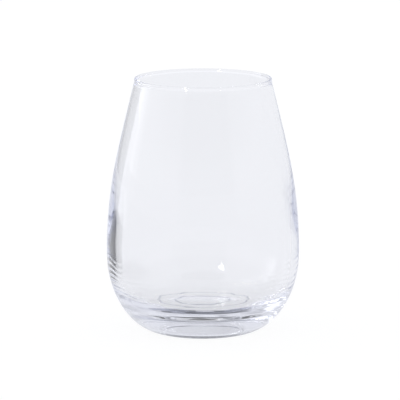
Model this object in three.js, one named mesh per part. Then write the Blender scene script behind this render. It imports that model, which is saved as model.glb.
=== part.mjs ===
// A stemless tumbler, one piece of clear glass turned round the Z axis: a heavy base on a narrow
// standing ring, a belly low down, a wall that thins as it closes in to the mouth, and a fire-polished
// bead round the rim. Millimetres, +Z up. The origin is on the table, under the axis.
import * as THREE from "three";

// Overall form, measured outside
const HEIGHT = 120;
const BELLY_DIAMETER = 91;
const BELLY_HEIGHT = 36;
const MOUTH_DIAMETER = 64.4; // in the crease under the rim bead
const FOOT_DIAMETER = 48; // where the heel leaves the table

// Fullness of the outside: the slope of each curve at its ends, in degrees, and how far it keeps to it
const HEEL_SLOPE = 11;
const HEEL_RUN = 12.3;
const BELLY_RUN_DOWN = 16.9;
const BELLY_RUN_UP = 32.5;
const NECK_RUN = 35;
const NECK_LEAN = 13.4;

// Inside: the wall is thick at the belly, stays upright inside and so thins as the outside closes in
const LIP_WALL = 1.05; // measured level, under the rim bead
const BELLY_WALL = 3.8; // measured level, from the belly's widest part in to the inside's
const INSIDE_BELLY_HEIGHT = 48; // the inside is widest higher up than the outside
const INSIDE_RUN_UP = 22;
const LIP_RUN = 50;

// Inside of the base: a nearly flat floor that turns up into the wall in one long curve
const BASE_THICKNESS = 11.8;
const FLOOR_DIAMETER = 47.4;
const FLOOR_DISH = 0.4;
const BOWL_RUN_DOWN = 15.1;
const BOWL_RUN_IN = 19.4;

// Rim bead, the round edge that the flame leaves, proud of the wall on both sides
const BEAD_PROUD_OUTSIDE = 0.2;
const BEAD_PROUD_INSIDE = 0.05;

// Underside: a flat standing ring round a shallow hollow
const STANDING_RING_WIDTH = 3.5;
const PUNT_DEPTH = 1.2;

// Facets
const TURN_STEPS = 96;
const LONG_CURVE_STEPS = 12;
const SHORT_CURVE_STEPS = 4;
const BEAD_STEPS = 9;

const GLASS_COLOUR = 0xeef1f7;
const GLASS_OPACITY = 0.35;
const GLASS_ROUGHNESS = 0.03;

const point = (radius, height) => new THREE.Vector2(radius, height);

// A step of a given length, at an angle in degrees above the outward direction
function step(length, angle) {
  const turn = THREE.MathUtils.degToRad(angle);
  return point(length * Math.cos(turn), length * Math.sin(turn));
}

// A curve that leaves one point and arrives at another along the two steps given
function curveBetween(from, leaving, to, arriving) {
  const firstHandle = from.clone().add(leaving);
  const lastHandle = to.clone().sub(arriving);
  return new THREE.CubicBezierCurve(from, firstHandle, lastHandle, to);
}

// A shallow hollow or crown: a parabola that is level on the axis
function dishedDisc(axisHeight, edge) {
  return new THREE.QuadraticBezierCurve(
    point(0, axisHeight),
    point(edge.x / 2, axisHeight),
    edge,
  );
}

// The bead is a circle round the top of the wall, and meets it in a crease on either side
const beadRadius = (LIP_WALL + BEAD_PROUD_OUTSIDE + BEAD_PROUD_INSIDE) / 2;
const beadCentre = point(
  MOUTH_DIAMETER / 2 + BEAD_PROUD_OUTSIDE - beadRadius,
  HEIGHT - beadRadius,
);
const outerCreaseAngle = -Math.acos(1 - BEAD_PROUD_OUTSIDE / beadRadius);
const innerCreaseAngle = Math.PI + Math.acos(1 - BEAD_PROUD_INSIDE / beadRadius);
const bead = new THREE.ArcCurve(
  beadCentre.x,
  beadCentre.y,
  beadRadius,
  outerCreaseAngle,
  innerCreaseAngle,
  false,
);

// The outside, from the foot over the heel and belly to the crease under the bead
const footEdge = point(FOOT_DIAMETER / 2, 0);
const belly = point(BELLY_DIAMETER / 2, BELLY_HEIGHT);
const outerCrease = bead.getPoint(0);
const heel = curveBetween(
  footEdge,
  step(HEEL_RUN, HEEL_SLOPE),
  belly,
  step(BELLY_RUN_DOWN, 90),
);
const shoulder = curveBetween(
  belly,
  step(BELLY_RUN_UP, 90),
  outerCrease,
  step(NECK_RUN, 90 + NECK_LEAN),
);

// The inside, from the lip down the wall to its widest part, and round the bowl to the floor
const lip = point(outerCrease.x - LIP_WALL, outerCrease.y);
const insideBelly = point(belly.x - BELLY_WALL, INSIDE_BELLY_HEIGHT);
const floorEdge = point(FLOOR_DIAMETER / 2, BASE_THICKNESS + FLOOR_DISH);
const innerWall = curveBetween(
  lip,
  step(LIP_RUN, NECK_LEAN - 90),
  insideBelly,
  step(INSIDE_RUN_UP, -90),
);
const bowl = curveBetween(
  insideBelly,
  step(BOWL_RUN_DOWN, -90),
  floorEdge,
  step(BOWL_RUN_IN, 180),
);
const floor = dishedDisc(BASE_THICKNESS, floorEdge);
const ringInside = point(footEdge.x - STANDING_RING_WIDTH, 0);
const punt = dishedDisc(PUNT_DEPTH, ringInside);

// Half of the glass cut through its axis, from the middle of the underside round to the floor
const section = [
  ...punt.getPoints(SHORT_CURVE_STEPS),
  ...heel.getPoints(LONG_CURVE_STEPS),
  ...shoulder.getPoints(LONG_CURVE_STEPS).slice(1),
  ...bead.getPoints(BEAD_STEPS).slice(1),
  ...innerWall.getPoints(LONG_CURVE_STEPS),
  ...bowl.getPoints(LONG_CURVE_STEPS).slice(1),
  ...floor.getPoints(SHORT_CURVE_STEPS).reverse().slice(1),
];

const tumblerGlass = new THREE.MeshStandardMaterial({
  color: GLASS_COLOUR,
  roughness: GLASS_ROUGHNESS,
  metalness: 0,
  transparent: true,
  opacity: GLASS_OPACITY,
});

const glassTumbler = new THREE.Mesh(
  new THREE.LatheGeometry(section, TURN_STEPS),
  tumblerGlass,
);
glassTumbler.name = "glass_tumbler";
glassTumbler.rotation.x = Math.PI / 2; // a lathe turns round Y, and the glass stands along Z

const tumbler = new THREE.Group();
tumbler.add(glassTumbler);

export default tumbler;
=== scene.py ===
"""A stemless tumbler of clear blown glass, standing on a white ground in soft studio light."""

import math

import bpy
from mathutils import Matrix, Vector


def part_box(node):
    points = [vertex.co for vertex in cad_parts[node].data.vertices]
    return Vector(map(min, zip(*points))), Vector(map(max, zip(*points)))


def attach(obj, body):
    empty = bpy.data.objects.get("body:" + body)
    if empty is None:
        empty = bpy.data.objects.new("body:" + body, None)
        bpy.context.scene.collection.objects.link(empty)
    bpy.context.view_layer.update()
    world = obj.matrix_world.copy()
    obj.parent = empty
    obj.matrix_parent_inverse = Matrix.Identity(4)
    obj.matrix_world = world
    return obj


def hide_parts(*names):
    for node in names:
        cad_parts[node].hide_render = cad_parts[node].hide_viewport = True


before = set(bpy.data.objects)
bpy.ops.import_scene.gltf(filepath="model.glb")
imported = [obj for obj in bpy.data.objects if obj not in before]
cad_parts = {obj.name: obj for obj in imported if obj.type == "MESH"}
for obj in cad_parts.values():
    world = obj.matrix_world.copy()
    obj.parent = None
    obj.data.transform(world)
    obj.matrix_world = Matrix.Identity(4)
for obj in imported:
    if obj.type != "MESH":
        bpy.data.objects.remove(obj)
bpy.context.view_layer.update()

MM = 0.001
NODE = "glass_tumbler"

# Overall form of the outside, from the frame
high_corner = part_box(NODE)[1]
HEIGHT = high_corner.z
BELLY_RADIUS = high_corner.x

# The rest of the outside: slopes in degrees, and how far each curve keeps to its slope
BELLY_HEIGHT = 36 * MM
MOUTH_RADIUS = 32.2 * MM
FOOT_RADIUS = 24 * MM
HEEL_SLOPE = 11
HEEL_RUN = 12.3 * MM
BELLY_RUN_DOWN = 16.9 * MM
BELLY_RUN_UP = 32.5 * MM
NECK_RUN = 35 * MM
NECK_LEAN = 13.4
STANDING_RING_WIDTH = 3.5 * MM
PUNT_DEPTH = 1.2 * MM

# The inside
LIP_WALL = 1.05 * MM
BELLY_WALL = 3.8 * MM
INSIDE_BELLY_HEIGHT = 48 * MM
INSIDE_RUN_UP = 22 * MM
LIP_RUN = 50 * MM
BASE_THICKNESS = 11.8 * MM
FLOOR_RADIUS = 23.7 * MM
FLOOR_DISH = 0.4 * MM
BOWL_RUN_DOWN = 15.1 * MM
BOWL_RUN_IN = 19.4 * MM

# The rim bead
BEAD_PROUD_OUTSIDE = 0.2 * MM
BEAD_PROUD_INSIDE = 0.05 * MM

# Rings that the blowing mould left on the floor of the bowl
RIDGE_RADII = (13 * MM, 21.8 * MM)
RIDGE_HEIGHT = 0.1 * MM
RIDGE_HALF_WIDTH = 0.8 * MM

# Waves that the glass set with: their share by millimetres up, all round and at the two sides
WAVE_PITCH = 2.4 * MM
WAVE_HEIGHT = 0.1 * MM
WAVE_CENTRE = -100 * MM
WAVE_TURBULENCE = 6.0
WAVE_NOISE = 1.5
WOOD_RATE = 20  # radians of sine to one unit of Blender's wood texture
SIDE_POWER = 4
WAVE_SHARES = (
    (12.25, 0),
    (12.7, 1),
    (14, 1),
    (16, 0.35),
    (20, 0.12),
    (36, 0),
)
SIDE_WAVE_SHARES = (
    (16, 0),
    (20, 0.5),
    (31, 0.8),
    (38, 0),
)

# Fineness of the turned mesh
TURN_STEPS = 240
WALL_STEPS = 48
BOWL_STEPS = 120
FLOOR_STEPS = 20
RIDGE_STEPS = 6
PUNT_STEPS = 8
RING_STEPS = 3
BEAD_PARTS = 4
BEAD_STEPS = 5
MERGE_DISTANCE = 0.001 * MM

# Glass
GLASS_IOR = 1.52
DEPTH_TINT = "#7C8FCB"
DEPTH_DENSITY = 2.0
CORD_SPACING = 6 * MM
CORD_STRETCH = 6
CORD_HEIGHT = 0.004 * MM
CORD_DETAIL = 1.0

# Painted shade: a faint grey line along each mould ring, standing in for the dark line that light
# through the ring shows: its share by millimetres from the axis, and how it wanders
RING_SHADE_TONE = "#A9ADBA"
RING_HIGHEST = 14 * MM
RING_LOWEST = 8 * MM
RING_REACH = 26 * MM
RING_SHADE_LINES = (
    (12.2, 0),
    (12.9, 1),
    (13.5, 1),
    (14.2, 0),
    (20.9, 0),
    (21.5, 1),
    (22.1, 1),
    (22.7, 0),
)
RING_WANDER = 3 * MM
RING_WANDER_SPACING = 9 * MM
RING_WANDER_DETAIL = 2.0

# Camera, worked out from the outline in the photograph
PHOTO_SIDE = 400
FOCAL_PIXELS = 3175.4
SENSOR_WIDTH = 36
CAMERA_DISTANCE = 1.5
CAMERA_ELEVATION = 10.34
CAMERA_AIM = Vector((-1.42, 0, 61.7)) * MM
CAMERA_SIGHT = 50

# How often light may pass or bounce: the thick base turns it back many times
BOUNCES = 200
CLEAR_BOUNCES = 64

# Light is told apart by how often it passed a face of the glass, and was turned back inside it
PASSED_IN_AND_OUT = 2.0
TURNED_ONCE = 1.0
COUNT_SLACK = 0.5

# The light tent: brightness by degrees round from the camera to the right, and by degrees up
TENT_TINT = "#F9FAFF"
TENT_ROUND = (
    (-180, 1.0),
    (-150, 0.85),
    (-123, 0.75),
    (-121, 1.9),
    (-110, 1.6),
    (-95, 1.05),
    (-34, 0.95),
    (-29, 0.76),
    (38, 0.76),
    (44, 0.95),
    (110, 0.92),
    (150, 0.95),
    (180, 1.0),
)
TENT_UP = (
    (0, 1.0),
    (11, 1.0),
    (15, 0.8),
    (32, 0.8),
    (55, 0.97),
    (62, 0.97),
    (90, 1.0),
)

# Its ceiling, darker for light that went in and out of the glass once
DARK_CEILING = (
    (0, 1.0),
    (48, 1.0),
    (62, 0.2),
    (90, 0.2),
)

# The ground, and how dark it is for that light, by millimetres from the middle of the foot
GROUND_RADIUS = 6
GROUND_CORNERS = 64
GROUND_DROP = 0.02 * MM
PAPER = "#F3F4F6"
GLOW = "#FAFBFF"
GLOW_STRENGTH = 1.02
GLOW_SHARE = 0.6
LENS_WHITE = 1.04
LENS_SHARE = 0.8
FOOT_SHADE = (
    (0, 0.85),
    (30, 0.85),
    (38, 0.0),
)

# The softbox, which the wall mirrors as a bright strip: its brightness across, from 0 to 1
BOX_AZIMUTH = -110
BOX_DISTANCE = 0.5
BOX_WIDTH = 0.2
BOX_HEIGHT = 0.17
BOX_TILT = 8
BOX_TONES = (
    (0, 2.2),
    (0.45, 1.7),
    (1, 1.0),
)

# The small three-cornered window above
LAMP_AZIMUTH = -32.5
LAMP_ELEVATION = 39.5
LAMP_DISTANCE = 1.5
LAMP_AIM_HEIGHT = HEIGHT / 4
LAMP_CORNERS = (
    (-0.08, -0.48),
    (-0.13, 0.07),
    (0.21, 0.41),
)
LAMP_RADIANCE = 10.0

# Black cloth, for the backdrop, the mat and the card
CLOTH_TONE = "#27272B"

# A low backdrop far round the glass: how dark it is, by degrees round from the camera to the right
BACKDROP_RADIUS = 0.55
BACKDROP_HEIGHT = 0.14
BACKDROP_FACES = 144
BACKDROP_DARK = (
    (-180, 0.0),
    (-175, 0.55),
    (-116, 0.55),
    (-108, 0.0),
)

# A dark mat to the left: how dark it is, by millimetres from its middle
MAT_CORNERS = 48
MAT_CENTRE = Vector((-170, -20, 0.3)) * MM
MAT_DARK = (
    (0, 0.9),
    (45, 0.9),
    (60, 0.53),
    (75, 0.26),
    (90, 0.085),
    (110, 0.0),
)

# A black card that stands behind the glass to the left: how dark it is, by millimetres up
CARD_AZIMUTH = -133
CARD_DISTANCE = 105 * MM
CARD_WIDTH = 120 * MM
CARD_DARK = (
    (0, 0.3),
    (6, 0.4),
    (11, 1.0),
    (25, 1.0),
    (30, 0.3),
    (44, 0.28),
    (60, 0.25),
    (75, 0.0),
)


def linear(hex_colour, strength=1):
    """A colour written as sRGB hex, as linear red, green, blue and alpha."""
    values = [int(hex_colour[i : i + 2], 16) / 255 for i in (1, 3, 5)]
    lights = [v / 12.92 if v <= 0.04045 else ((v + 0.055) / 1.055) ** 2.4 for v in values]
    return [strength * light for light in lights] + [1]


def grey(share):
    """A share from 0 to 1, as a colour for a ramp."""
    return (share, share, share, 1)


def add_node(tree, kind, settings=(), inputs=(), links=()):
    """Adds a node, sets its properties and sockets, and links other nodes' outputs into it."""
    node = tree.nodes.new(kind)
    for name, value in dict(settings).items():
        setattr(node, name, value)
    for name, value in dict(inputs).items():
        node.inputs[name].default_value = value
    for name, output in dict(links).items():
        tree.links.new(output, node.inputs[name])
    return node


def empty_tree(owner):
    """The owner's node tree, with nothing in it."""
    owner.use_nodes = True
    owner.node_tree.nodes.clear()
    return owner.node_tree


def set_stops(ramp, stops):
    """Gives a colour ramp its stops, each a position from 0 to 1 and a colour."""
    elements = ramp.color_ramp.elements
    while len(elements) < len(stops):
        elements.new(0.5)
    for element, (position, colour) in zip(elements, stops):
        element.position = position
        element.color = colour


def deselect_all():
    """Clears the selection, so that the next operator acts only on what it makes."""
    if bpy.context.object and bpy.context.object.mode != "OBJECT":
        bpy.ops.object.mode_set(mode="OBJECT")
    bpy.ops.object.select_all(action="DESELECT")


def step(length, angle):
    """A step of a length, at an angle in degrees above the outward direction, in the section's plane."""
    turn = math.radians(angle)
    return Vector((length * math.cos(turn), 0, length * math.sin(turn)))


def at(radius, height):
    """A point of the section."""
    return Vector((radius, 0, height))


def stretch(start, leaving, end, arriving, steps):
    """A smooth stretch of the section that leaves its start and reaches its end along two steps."""
    return start, start + leaving, end - arriving, end, steps


def straight(start, end, steps=1):
    """A straight stretch of the section."""
    third = (end - start) / 3
    return stretch(start, third, end, third, steps)


def punt(edge):
    """The shallow hollow under the base, from the axis to its edge, level on the axis."""
    centre = at(0, PUNT_DEPTH)
    middle = at(edge.x / 2, PUNT_DEPTH)
    return stretch(centre, (middle - centre) * 2 / 3, edge, (edge - middle) * 2 / 3, PUNT_STEPS)


def bead(centre, radius, start_angle, end_angle):
    """The round rim, in as many equal parts as keep it true."""
    turn = (end_angle - start_angle) / BEAD_PARTS
    run = radius * 4 / 3 * math.tan(math.radians(turn) / 4)
    found = []
    for i in range(BEAD_PARTS):
        a = start_angle + i * turn
        b = a + turn
        found.append(
            stretch(centre + step(radius, a), step(run, a + 90),
                    centre + step(radius, b), step(run, b + 90), BEAD_STEPS)
        )
    return found


def ringed_floor(edge):
    """The floor of the bowl from its edge to the axis, with a low ridge at each mould ring."""
    def height(radius):
        return BASE_THICKNESS + FLOOR_DISH * (radius / edge.x) ** 2

    half = at(-RIDGE_HALF_WIDTH / 2, 0)
    parts = []
    outer = edge
    for radius in reversed(RIDGE_RADII):
        foot = at(radius + RIDGE_HALF_WIDTH, height(radius + RIDGE_HALF_WIDTH))
        crest = at(radius, height(radius) + RIDGE_HEIGHT)
        inner_foot = at(radius - RIDGE_HALF_WIDTH, height(radius - RIDGE_HALF_WIDTH))
        parts.append(straight(outer, foot, FLOOR_STEPS))
        parts.append(stretch(foot, half, crest, half, RIDGE_STEPS))
        parts.append(stretch(crest, half, inner_foot, half, RIDGE_STEPS))
        outer = inner_foot
    parts.append(straight(outer, at(0, BASE_THICKNESS), FLOOR_STEPS))
    return parts


def draw_section():
    """The half section, as stretches of the outside and of the inside."""
    bead_radius = (LIP_WALL + BEAD_PROUD_OUTSIDE + BEAD_PROUD_INSIDE) / 2
    bead_centre = at(MOUTH_RADIUS + BEAD_PROUD_OUTSIDE - bead_radius, HEIGHT - bead_radius)
    outer_angle = -math.degrees(math.acos(1 - BEAD_PROUD_OUTSIDE / bead_radius))
    inner_angle = 180 + math.degrees(math.acos(1 - BEAD_PROUD_INSIDE / bead_radius))
    outer_crease = bead_centre + step(bead_radius, outer_angle)
    inner_crease = bead_centre + step(bead_radius, inner_angle)

    ring_inside = at(FOOT_RADIUS - STANDING_RING_WIDTH, 0)
    foot = at(FOOT_RADIUS, 0)
    belly = at(BELLY_RADIUS, BELLY_HEIGHT)
    outside = [
        punt(ring_inside),
        straight(ring_inside, foot, RING_STEPS),
        stretch(foot, step(HEEL_RUN, HEEL_SLOPE), belly, step(BELLY_RUN_DOWN, 90), WALL_STEPS),
        stretch(belly, step(BELLY_RUN_UP, 90), outer_crease, step(NECK_RUN, 90 + NECK_LEAN), WALL_STEPS),
        *bead(bead_centre, bead_radius, outer_angle, inner_angle),
    ]

    lip = outer_crease - at(LIP_WALL, 0)
    inside_belly = at(BELLY_RADIUS - BELLY_WALL, INSIDE_BELLY_HEIGHT)
    floor_edge = at(FLOOR_RADIUS, BASE_THICKNESS + FLOOR_DISH)
    inside = [
        straight(inner_crease, lip),
        stretch(lip, step(LIP_RUN, NECK_LEAN - 90), inside_belly, step(INSIDE_RUN_UP, -90), WALL_STEPS),
        stretch(inside_belly, step(BOWL_RUN_DOWN, -90), floor_edge, step(BOWL_RUN_IN, 180), BOWL_STEPS),
        *ringed_floor(floor_edge),
    ]
    return outside, inside


def turn_glass(name, stretches):
    """Draws stretches of the section as curves, makes them a mesh and spins it round the axis."""
    deselect_all()
    bpy.ops.curve.primitive_bezier_curve_add()
    piece = bpy.context.object
    piece.name = name
    curve = piece.data
    curve.dimensions = "3D"
    curve.splines.clear()
    for start, first, last, end, steps in stretches:
        spline = curve.splines.new("BEZIER")
        spline.bezier_points.add(1)
        spline.resolution_u = steps
        knots = ((spline.bezier_points[0], start, start * 2 - first, first),
                 (spline.bezier_points[1], end, last, end * 2 - last))
        for knot, place, before, after in knots:
            knot.handle_left_type = knot.handle_right_type = "FREE"
            knot.co, knot.handle_left, knot.handle_right = place, before, after
    bpy.ops.object.convert(target="MESH")
    bpy.ops.object.mode_set(mode="EDIT")
    bpy.ops.mesh.select_all(action="SELECT")
    bpy.ops.mesh.remove_doubles(threshold=MERGE_DISTANCE)
    bpy.ops.mesh.spin(steps=TURN_STEPS, angle=math.tau, center=(0, 0, 0), axis=(0, 0, 1))
    bpy.ops.mesh.select_all(action="SELECT")
    bpy.ops.mesh.remove_doubles(threshold=MERGE_DISTANCE)
    bpy.ops.object.mode_set(mode="OBJECT")
    return piece


def share_at(height, shares):
    """The share at a height, from pairs of a height in millimetres and the share there."""
    for (low, low_share), (high, high_share) in zip(shares, shares[1:]):
        if low * MM <= height <= high * MM:
            return low_share + (high_share - low_share) * (height - low * MM) / ((high - low) * MM)
    return 0


def settle_waves(lining):
    """Shallow waves that the glass sets with as it chills, at the floor's edge and up two sides."""
    deselect_all()
    bpy.ops.object.empty_add(location=(0, 0, WAVE_CENTRE))
    middle = bpy.context.object
    middle.scale = [WAVE_PITCH * WOOD_RATE / math.tau] * 3
    waves = bpy.data.textures.new("settle_waves", "WOOD")
    waves.wood_type = "RINGNOISE"
    waves.noise_basis_2 = "SIN"
    waves.turbulence = WAVE_TURBULENCE
    waves.noise_scale = WAVE_NOISE
    group = lining.vertex_groups.new(name="chilled_bottom")
    for vertex in lining.data.vertices:
        to_side = abs(vertex.co.x) / max(vertex.co.xy.length, MM)
        share = share_at(vertex.co.z, WAVE_SHARES)
        share += share_at(vertex.co.z, SIDE_WAVE_SHARES) * to_side**SIDE_POWER
        group.add([vertex.index], share, "REPLACE")
    deselect_all()
    lining.select_set(True)
    bpy.context.view_layer.objects.active = lining
    rings = lining.modifiers.new("settle_waves", "DISPLACE")
    rings.texture = waves
    rings.texture_coords = "OBJECT"
    rings.texture_coords_object = middle
    rings.vertex_group = group.name
    rings.strength = WAVE_HEIGHT
    rings.mid_level = 0.5
    bpy.context.view_layer.update()
    bpy.ops.object.modifier_apply(modifier=rings.name)
    lining.vertex_groups.clear()
    bpy.data.objects.remove(middle)
    bpy.data.textures.remove(waves)


def blow_tumbler():
    """The whole glass: the inside and the outside turned apart, then joined at the rim."""
    outside, inside = draw_section()
    shell = turn_glass("blown_tumbler", outside)
    lining = turn_glass("tumbler_inside", inside)
    settle_waves(lining)
    deselect_all()
    lining.select_set(True)
    shell.select_set(True)
    bpy.context.view_layer.objects.active = shell
    bpy.ops.object.join()
    bpy.ops.object.mode_set(mode="EDIT")
    bpy.ops.mesh.select_all(action="SELECT")
    bpy.ops.mesh.remove_doubles(threshold=MERGE_DISTANCE)
    bpy.ops.mesh.normals_make_consistent(inside=False)
    bpy.ops.object.mode_set(mode="OBJECT")
    bpy.ops.object.shade_smooth()
    return shell


def blown_soda_lime_glass():
    """Clear soda-lime glass, blown and fire polished.

    The polish gives sharp, bright reflections, and the depth of the base a faint cool tint. Cords,
    the streaks of the gather drawn out as the glass was blown, make the light through the wall waver.
    A faint grey line of painted shade along each mould ring stands in for the dark line that the ring
    shows on the floor of the bowl.
    """
    material = bpy.data.materials.new("blown_soda_lime_glass")
    tree = empty_tree(material)
    place = add_node(tree, "ShaderNodeTexCoord")
    drawn_out = add_node(
        tree,
        "ShaderNodeMapping",
        inputs={"Scale": (1, 1, 1 / CORD_STRETCH)},
        links={"Vector": place.outputs["Object"]},
    )
    cords = add_node(
        tree,
        "ShaderNodeTexNoise",
        inputs={"Scale": 1 / CORD_SPACING, "Detail": CORD_DETAIL},
        links={"Vector": drawn_out.outputs["Vector"]},
    )
    waver = add_node(
        tree,
        "ShaderNodeBump",
        inputs={"Distance": CORD_HEIGHT},
        links={"Height": cords.outputs["Fac"]},
    )
    flat = add_node(
        tree,
        "ShaderNodeVectorMath",
        settings={"operation": "MULTIPLY"},
        inputs={1: (1, 1, 0)},
        links={0: place.outputs["Object"]},
    )
    from_axis = add_node(
        tree, "ShaderNodeVectorMath", settings={"operation": "LENGTH"}, links={0: flat.outputs["Vector"]}
    )
    wander = add_node(
        tree,
        "ShaderNodeTexNoise",
        inputs={"Scale": 1 / RING_WANDER_SPACING, "Detail": RING_WANDER_DETAIL},
        links={"Vector": flat.outputs["Vector"]},
    )
    wandering = add_node(
        tree,
        "ShaderNodeMath",
        settings={"operation": "MULTIPLY_ADD"},
        inputs={1: RING_WANDER},
        links={0: wander.outputs["Fac"], 2: from_axis.outputs["Value"]},
    )
    out_to = add_node(
        tree,
        "ShaderNodeMapRange",
        inputs={"From Min": RING_WANDER / 2, "From Max": RING_REACH + RING_WANDER / 2},
        links={"Value": wandering.outputs["Value"]},
    )
    lines = add_node(tree, "ShaderNodeValToRGB", links={"Fac": out_to.outputs["Result"]})
    set_stops(lines, [(radius * MM / RING_REACH, grey(dark)) for radius, dark in RING_SHADE_LINES])
    parts = add_node(tree, "ShaderNodeSeparateXYZ", links={0: place.outputs["Object"]})
    on_floor = add_node(
        tree,
        "ShaderNodeMath",
        settings={"operation": "COMPARE"},
        inputs={1: (RING_LOWEST + RING_HIGHEST) / 2, 2: (RING_HIGHEST - RING_LOWEST) / 2},
        links={0: parts.outputs["Z"]},
    )
    ring_shade = add_node(
        tree,
        "ShaderNodeMath",
        settings={"operation": "MULTIPLY"},
        links={0: lines.outputs["Color"], 1: on_floor.outputs["Value"]},
    )
    # Painted shade: the glass is tinted grey along each mould ring on the floor of the bowl
    colour = add_node(
        tree,
        "ShaderNodeMix",
        settings={"data_type": "RGBA"},
        inputs={6: linear("#FFFFFF"), 7: linear(RING_SHADE_TONE)},
        links={0: ring_shade.outputs["Value"]},
    )
    glass = add_node(
        tree,
        "ShaderNodeBsdfPrincipled",
        inputs={
            "Roughness": 0.0,
            "IOR": GLASS_IOR,
            "Transmission Weight": 1.0,
        },
        links={"Base Color": colour.outputs[2], "Normal": waver.outputs["Normal"]},
    )
    depth = add_node(
        tree,
        "ShaderNodeVolumeAbsorption",
        inputs={"Color": linear(DEPTH_TINT), "Density": DEPTH_DENSITY},
    )
    add_node(
        tree,
        "ShaderNodeOutputMaterial",
        links={"Surface": glass.outputs["BSDF"], "Volume": depth.outputs["Volume"]},
    )
    return material


def in_and_out(tree, path):
    """1 for unscattered light that passed two faces of the glass, in and out, and else 0."""
    once = add_node(
        tree,
        "ShaderNodeMath",
        settings={"operation": "COMPARE"},
        inputs={1: PASSED_IN_AND_OUT, 2: COUNT_SLACK},
        links={0: path.outputs["Transmission Depth"]},
    )
    return add_node(
        tree,
        "ShaderNodeMath",
        settings={"operation": "SUBTRACT", "use_clamp": True},
        links={0: once.outputs["Value"], 1: path.outputs["Is Diffuse Ray"]},
    )


def turned_back(tree, path):
    """1 for light that was turned back once between going into the glass and coming out, and else 0."""
    came_out = in_and_out(tree, path)
    turned = add_node(
        tree,
        "ShaderNodeMath",
        settings={"operation": "COMPARE"},
        inputs={1: TURNED_ONCE, 2: COUNT_SLACK},
        links={0: path.outputs["Glossy Depth"]},
    )
    return add_node(
        tree,
        "ShaderNodeMath",
        settings={"operation": "MULTIPLY"},
        links={0: came_out.outputs["Value"], 1: turned.outputs["Value"]},
    )


def dark_outwards(tree, stops):
    """How dark a sheet is, from pairs of millimetres from its middle and the share there."""
    reach = stops[-1][0] * MM
    place = add_node(tree, "ShaderNodeTexCoord")
    away = add_node(
        tree,
        "ShaderNodeVectorMath",
        settings={"operation": "LENGTH"},
        links={0: place.outputs["Object"]},
    )
    share_out = add_node(
        tree, "ShaderNodeMapRange", inputs={"From Max": reach}, links={"Value": away.outputs["Value"]}
    )
    dark = add_node(tree, "ShaderNodeValToRGB", links={"Fac": share_out.outputs["Result"]})
    set_stops(dark, [(radius * MM / reach, grey(share)) for radius, share in stops])
    return dark


def white_paper():
    """White paper: the lens sees it nearly as white as the tent, with a share of its real shading."""
    material = bpy.data.materials.new("white_paper")
    tree = empty_tree(material)
    path = add_node(tree, "ShaderNodeLightPath")
    paper = add_node(tree, "ShaderNodeBsdfDiffuse", inputs={"Color": linear(PAPER)})
    shade = dark_outwards(tree, FOOT_SHADE)
    through_base = in_and_out(tree, path)
    foot = add_node(
        tree,
        "ShaderNodeMath",
        settings={"operation": "MULTIPLY"},
        links={0: shade.outputs["Color"], 1: through_base.outputs[0]},
    )
    dark = add_node(tree, "ShaderNodeEmission", inputs={"Strength": 0.0})
    glow = add_node(
        tree, "ShaderNodeEmission", inputs={"Color": linear(GLOW), "Strength": GLOW_STRENGTH}
    )
    white = add_node(
        tree, "ShaderNodeEmission", inputs={"Color": linear("#FFFFFF"), "Strength": LENS_WHITE}
    )
    toned = add_node(
        tree,
        "ShaderNodeMixShader",
        inputs={0: GLOW_SHARE},
        links={1: paper.outputs["BSDF"], 2: glow.outputs["Emission"]},
    )
    shaded = add_node(
        tree,
        "ShaderNodeMixShader",
        links={0: foot.outputs[0], 1: toned.outputs["Shader"], 2: dark.outputs["Emission"]},
    )
    share = add_node(
        tree,
        "ShaderNodeMath",
        settings={"operation": "MULTIPLY"},
        inputs={1: LENS_SHARE},
        links={0: path.outputs["Is Camera Ray"]},
    )
    both = add_node(
        tree,
        "ShaderNodeMixShader",
        links={0: share.outputs[0], 1: shaded.outputs["Shader"], 2: white.outputs["Emission"]},
    )
    add_node(tree, "ShaderNodeOutputMaterial", links={"Surface": both.outputs["Shader"]})
    return material


def lay_ground():
    """A wide sheet of paper under the glass."""
    deselect_all()
    bpy.ops.mesh.primitive_circle_add(
        vertices=GROUND_CORNERS,
        radius=GROUND_RADIUS,
        fill_type="NGON",
        location=(0, 0, -GROUND_DROP),
    )
    ground = bpy.context.object
    ground.name = "white_ground"
    ground.data.materials.append(white_paper())


def facing(azimuth, elevation=0):
    """The direction from the glass at so many degrees to the camera's right and above level."""
    turn, lift = math.radians(azimuth), math.radians(elevation)
    return Vector((math.sin(turn) * math.cos(lift), -math.cos(turn) * math.cos(lift), math.sin(lift)))


def round_share(azimuth):
    """Degrees to the right of the camera, as a share of the way round from straight behind."""
    return 0.5 + azimuth / 360


def up_share(elevation):
    """Degrees above level, as a share of the way up from straight below."""
    return 0.5 + math.sin(math.radians(elevation)) / 2


def bearing_round(tree, direction):
    """How far round a direction lies: half for the camera's side, and more to the right of it."""
    turned = add_node(
        tree,
        "ShaderNodeMapping",
        inputs={"Rotation": (0, 0, math.radians(90))},
        links={"Vector": direction},
    )
    return add_node(
        tree,
        "ShaderNodeTexGradient",
        settings={"gradient_type": "RADIAL"},
        links={"Vector": turned.outputs["Vector"]},
    )


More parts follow.
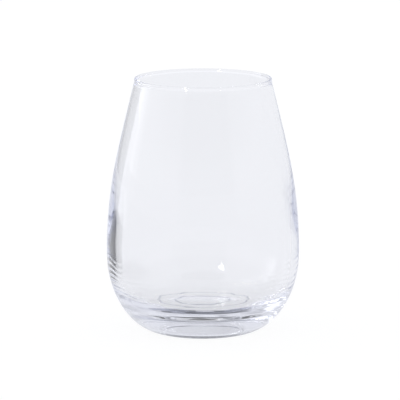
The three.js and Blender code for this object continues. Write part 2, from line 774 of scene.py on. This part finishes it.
def raise_tent():
    """The light tent: white for the lens, and for the glass as bright as it is in each direction."""
    world = bpy.data.worlds.new("light_tent")
    bpy.context.scene.world = world
    tree = empty_tree(world)
    place = add_node(tree, "ShaderNodeTexCoord")
    bearing = bearing_round(tree, place.outputs["Generated"])
    round_about = add_node(tree, "ShaderNodeValToRGB", links={"Fac": bearing.outputs["Fac"]})
    set_stops(
        round_about,
        [(round_share(azimuth), linear(TENT_TINT, level)) for azimuth, level in TENT_ROUND],
    )
    parts = add_node(tree, "ShaderNodeSeparateXYZ", links={0: place.outputs["Generated"]})
    height = add_node(
        tree,
        "ShaderNodeMapRange",
        inputs={"From Min": -1.0, "From Max": 1.0},
        links={"Value": parts.outputs["Z"]},
    )
    upwards = add_node(tree, "ShaderNodeValToRGB", links={"Fac": height.outputs["Result"]})
    set_stops(upwards, [(up_share(up), linear("#FFFFFF", level)) for up, level in TENT_UP])
    cloth = add_node(
        tree,
        "ShaderNodeMix",
        settings={"data_type": "RGBA", "blend_type": "MULTIPLY"},
        inputs={0: 1.0},
        links={6: round_about.outputs["Color"], 7: upwards.outputs["Color"]},
    )
    path = add_node(tree, "ShaderNodeLightPath")
    through_base = in_and_out(tree, path)
    ceiling = add_node(tree, "ShaderNodeValToRGB", links={"Fac": height.outputs["Result"]})
    set_stops(ceiling, [(up_share(up), linear("#FFFFFF", level)) for up, level in DARK_CEILING])
    roofed = add_node(
        tree,
        "ShaderNodeMix",
        settings={"data_type": "RGBA", "blend_type": "MULTIPLY"},
        links={0: through_base.outputs[0], 6: cloth.outputs[2], 7: ceiling.outputs["Color"]},
    )
    tent = add_node(tree, "ShaderNodeBackground", links={"Color": roofed.outputs[2]})
    white = add_node(tree, "ShaderNodeBackground", inputs={"Color": linear("#FFFFFF"), "Strength": 1.0})
    both = add_node(
        tree,
        "ShaderNodeMixShader",
        links={
            0: path.outputs["Is Camera Ray"],
            1: tent.outputs["Background"],
            2: white.outputs["Background"],
        },
    )
    add_node(tree, "ShaderNodeOutputWorld", links={"Surface": both.outputs["Shader"]})


def hang_window():
    """A small three-cornered window above, that the bowl mirrors as a glint."""
    aim = Vector((0, 0, LAMP_AIM_HEIGHT))
    away = facing(LAMP_AZIMUTH, LAMP_ELEVATION)
    deselect_all()
    bpy.ops.mesh.primitive_circle_add(
        vertices=len(LAMP_CORNERS),
        fill_type="NGON",
        location=aim + away * LAMP_DISTANCE,
    )
    window = bpy.context.object
    window.name = "window_above"
    window.rotation_euler = (-away).to_track_quat("Z", "Y").to_euler()
    for vertex, corner in zip(window.data.vertices, LAMP_CORNERS):
        vertex.co = (*corner, 0)
    finish = bpy.data.materials.new("window_light")
    tree = empty_tree(finish)
    light = add_node(
        tree, "ShaderNodeEmission", inputs={"Color": linear("#FFFFFF"), "Strength": LAMP_RADIANCE}
    )
    add_node(tree, "ShaderNodeOutputMaterial", links={"Surface": light.outputs["Emission"]})
    window.data.materials.append(finish)
    window.visible_camera = False
    window.visible_diffuse = False
    window.visible_shadow = False


def stand_sheet(name, azimuth, distance, width, height, tilt=0):
    """An upright sheet on the ground, square to the way from the glass, and leaning by its tilt."""
    deselect_all()
    bpy.ops.mesh.primitive_plane_add(
        size=1,
        location=facing(azimuth) * distance + Vector((0, 0, height / 2)),
        rotation=(math.radians(90), math.radians(tilt), math.radians(azimuth)),
    )
    sheet = bpy.context.object
    sheet.name = name
    sheet.scale = (width, height, 1)
    return sheet


def ramp_along(tree, axis, stops):
    """A colour ramp along the X or the Y of a sheet, from one edge to the other."""
    place = add_node(tree, "ShaderNodeTexCoord")
    parts = add_node(tree, "ShaderNodeSeparateXYZ", links={0: place.outputs["Object"]})
    along = add_node(
        tree,
        "ShaderNodeMapRange",
        inputs={"From Min": -0.5, "From Max": 0.5},
        links={"Value": parts.outputs[axis]},
    )
    ramp = add_node(tree, "ShaderNodeValToRGB", links={"Fac": along.outputs["Result"]})
    set_stops(ramp, stops)
    return ramp


def black_cloth(tree, dark, shown):
    """Black cloth, as dark as it is in each place for the light that it is shown to, and else clear."""
    share = add_node(
        tree, "ShaderNodeMath", settings={"operation": "MULTIPLY"}, links={0: dark, 1: shown}
    )
    clear = add_node(tree, "ShaderNodeBsdfTransparent")
    black = add_node(tree, "ShaderNodeEmission", inputs={"Color": linear(CLOTH_TONE)})
    both = add_node(
        tree,
        "ShaderNodeMixShader",
        links={0: share.outputs["Value"], 1: clear.outputs["BSDF"], 2: black.outputs["Emission"]},
    )
    add_node(tree, "ShaderNodeOutputMaterial", links={"Surface": both.outputs["Shader"]})


def hide_from_lens(card):
    """Keeps a card out of the picture: no shade on the ground, and no light from it there."""
    card.visible_camera = False
    card.visible_diffuse = False
    card.visible_shadow = False


def stand_backdrop():
    """A low backdrop, dark behind to the left, that shows only in light turned back inside the wall."""
    deselect_all()
    bpy.ops.mesh.primitive_cylinder_add(
        vertices=BACKDROP_FACES,
        radius=BACKDROP_RADIUS,
        depth=BACKDROP_HEIGHT,
        end_fill_type="NOTHING",
        location=(0, 0, BACKDROP_HEIGHT / 2),
    )
    backdrop = bpy.context.object
    backdrop.name = "dark_backdrop"
    finish = bpy.data.materials.new("dark_backdrop")
    tree = empty_tree(finish)
    place = add_node(tree, "ShaderNodeTexCoord")
    bearing = bearing_round(tree, place.outputs["Object"])
    dark = add_node(tree, "ShaderNodeValToRGB", links={"Fac": bearing.outputs["Fac"]})
    set_stops(dark, [(round_share(azimuth), grey(share)) for azimuth, share in BACKDROP_DARK])
    path = add_node(tree, "ShaderNodeLightPath")
    turned = turned_back(tree, path)
    black_cloth(tree, dark.outputs["Color"], turned.outputs["Value"])
    backdrop.data.materials.append(finish)
    hide_from_lens(backdrop)


def stand_card():
    """A black card behind the glass, to the left, that shows only in light turned back in the wall."""
    top = CARD_DARK[-1][0] * MM
    card = stand_sheet("black_card", CARD_AZIMUTH, CARD_DISTANCE, CARD_WIDTH, top)
    finish = bpy.data.materials.new("black_card")
    tree = empty_tree(finish)
    dark = ramp_along(tree, "Y", [(up * MM / top, grey(share)) for up, share in CARD_DARK])
    path = add_node(tree, "ShaderNodeLightPath")
    turned = turned_back(tree, path)
    black_cloth(tree, dark.outputs["Color"], turned.outputs["Value"])
    card.data.materials.append(finish)
    hide_from_lens(card)


def lay_mat():
    """A dark mat to the left of the glass, that shows only as the wall mirrors it."""
    reach = MAT_DARK[-1][0] * MM
    deselect_all()
    bpy.ops.mesh.primitive_circle_add(
        vertices=MAT_CORNERS, radius=reach, fill_type="NGON", location=MAT_CENTRE
    )
    mat = bpy.context.object
    mat.name = "dark_mat"
    finish = bpy.data.materials.new("dark_mat")
    tree = empty_tree(finish)
    dark = dark_outwards(tree, MAT_DARK)
    path = add_node(tree, "ShaderNodeLightPath")
    black_cloth(tree, dark.outputs["Color"], path.outputs["Is Glossy Ray"])
    mat.data.materials.append(finish)
    mat.visible_transmission = False
    hide_from_lens(mat)


def stand_softbox():
    """A softbox on the ground, behind the glass to the left, that shows only as the wall mirrors it."""
    softbox = stand_sheet("softbox", BOX_AZIMUTH, BOX_DISTANCE, BOX_WIDTH, BOX_HEIGHT, BOX_TILT)
    finish = bpy.data.materials.new("softbox_cloth")
    tree = empty_tree(finish)
    cloth = ramp_along(tree, "X", [(along, linear(TENT_TINT, level)) for along, level in BOX_TONES])
    light = add_node(tree, "ShaderNodeEmission", links={"Color": cloth.outputs["Color"]})
    add_node(tree, "ShaderNodeOutputMaterial", links={"Surface": light.outputs["Emission"]})
    softbox.data.materials.append(finish)
    softbox.visible_camera = False
    softbox.visible_diffuse = False
    softbox.visible_transmission = False
    softbox.visible_shadow = False


def stand_camera():
    """The camera at the photograph's angle."""
    back = facing(0, CAMERA_ELEVATION)
    deselect_all()
    bpy.ops.object.camera_add(location=CAMERA_AIM + back * CAMERA_DISTANCE)
    camera = bpy.context.object
    camera.rotation_euler = back.to_track_quat("Z", "Y").to_euler()
    camera.data.sensor_width = SENSOR_WIDTH
    camera.data.lens = SENSOR_WIDTH * FOCAL_PIXELS / PHOTO_SIDE
    camera.data.clip_end = CAMERA_SIGHT
    bpy.context.scene.camera = camera


stand_camera()
lay_ground()
raise_tent()
hang_window()
stand_softbox()
stand_backdrop()
stand_card()
lay_mat()

scene = bpy.context.scene
scene.view_settings.view_transform = "Standard"
scene.cycles.max_bounces = BOUNCES
scene.cycles.glossy_bounces = BOUNCES
scene.cycles.transmission_bounces = BOUNCES
scene.cycles.transparent_max_bounces = CLEAR_BOUNCES

tumbler = blow_tumbler()
tumbler.data.materials.clear()
tumbler.data.materials.append(blown_soda_lime_glass())
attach(tumbler, "root")
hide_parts(NODE)
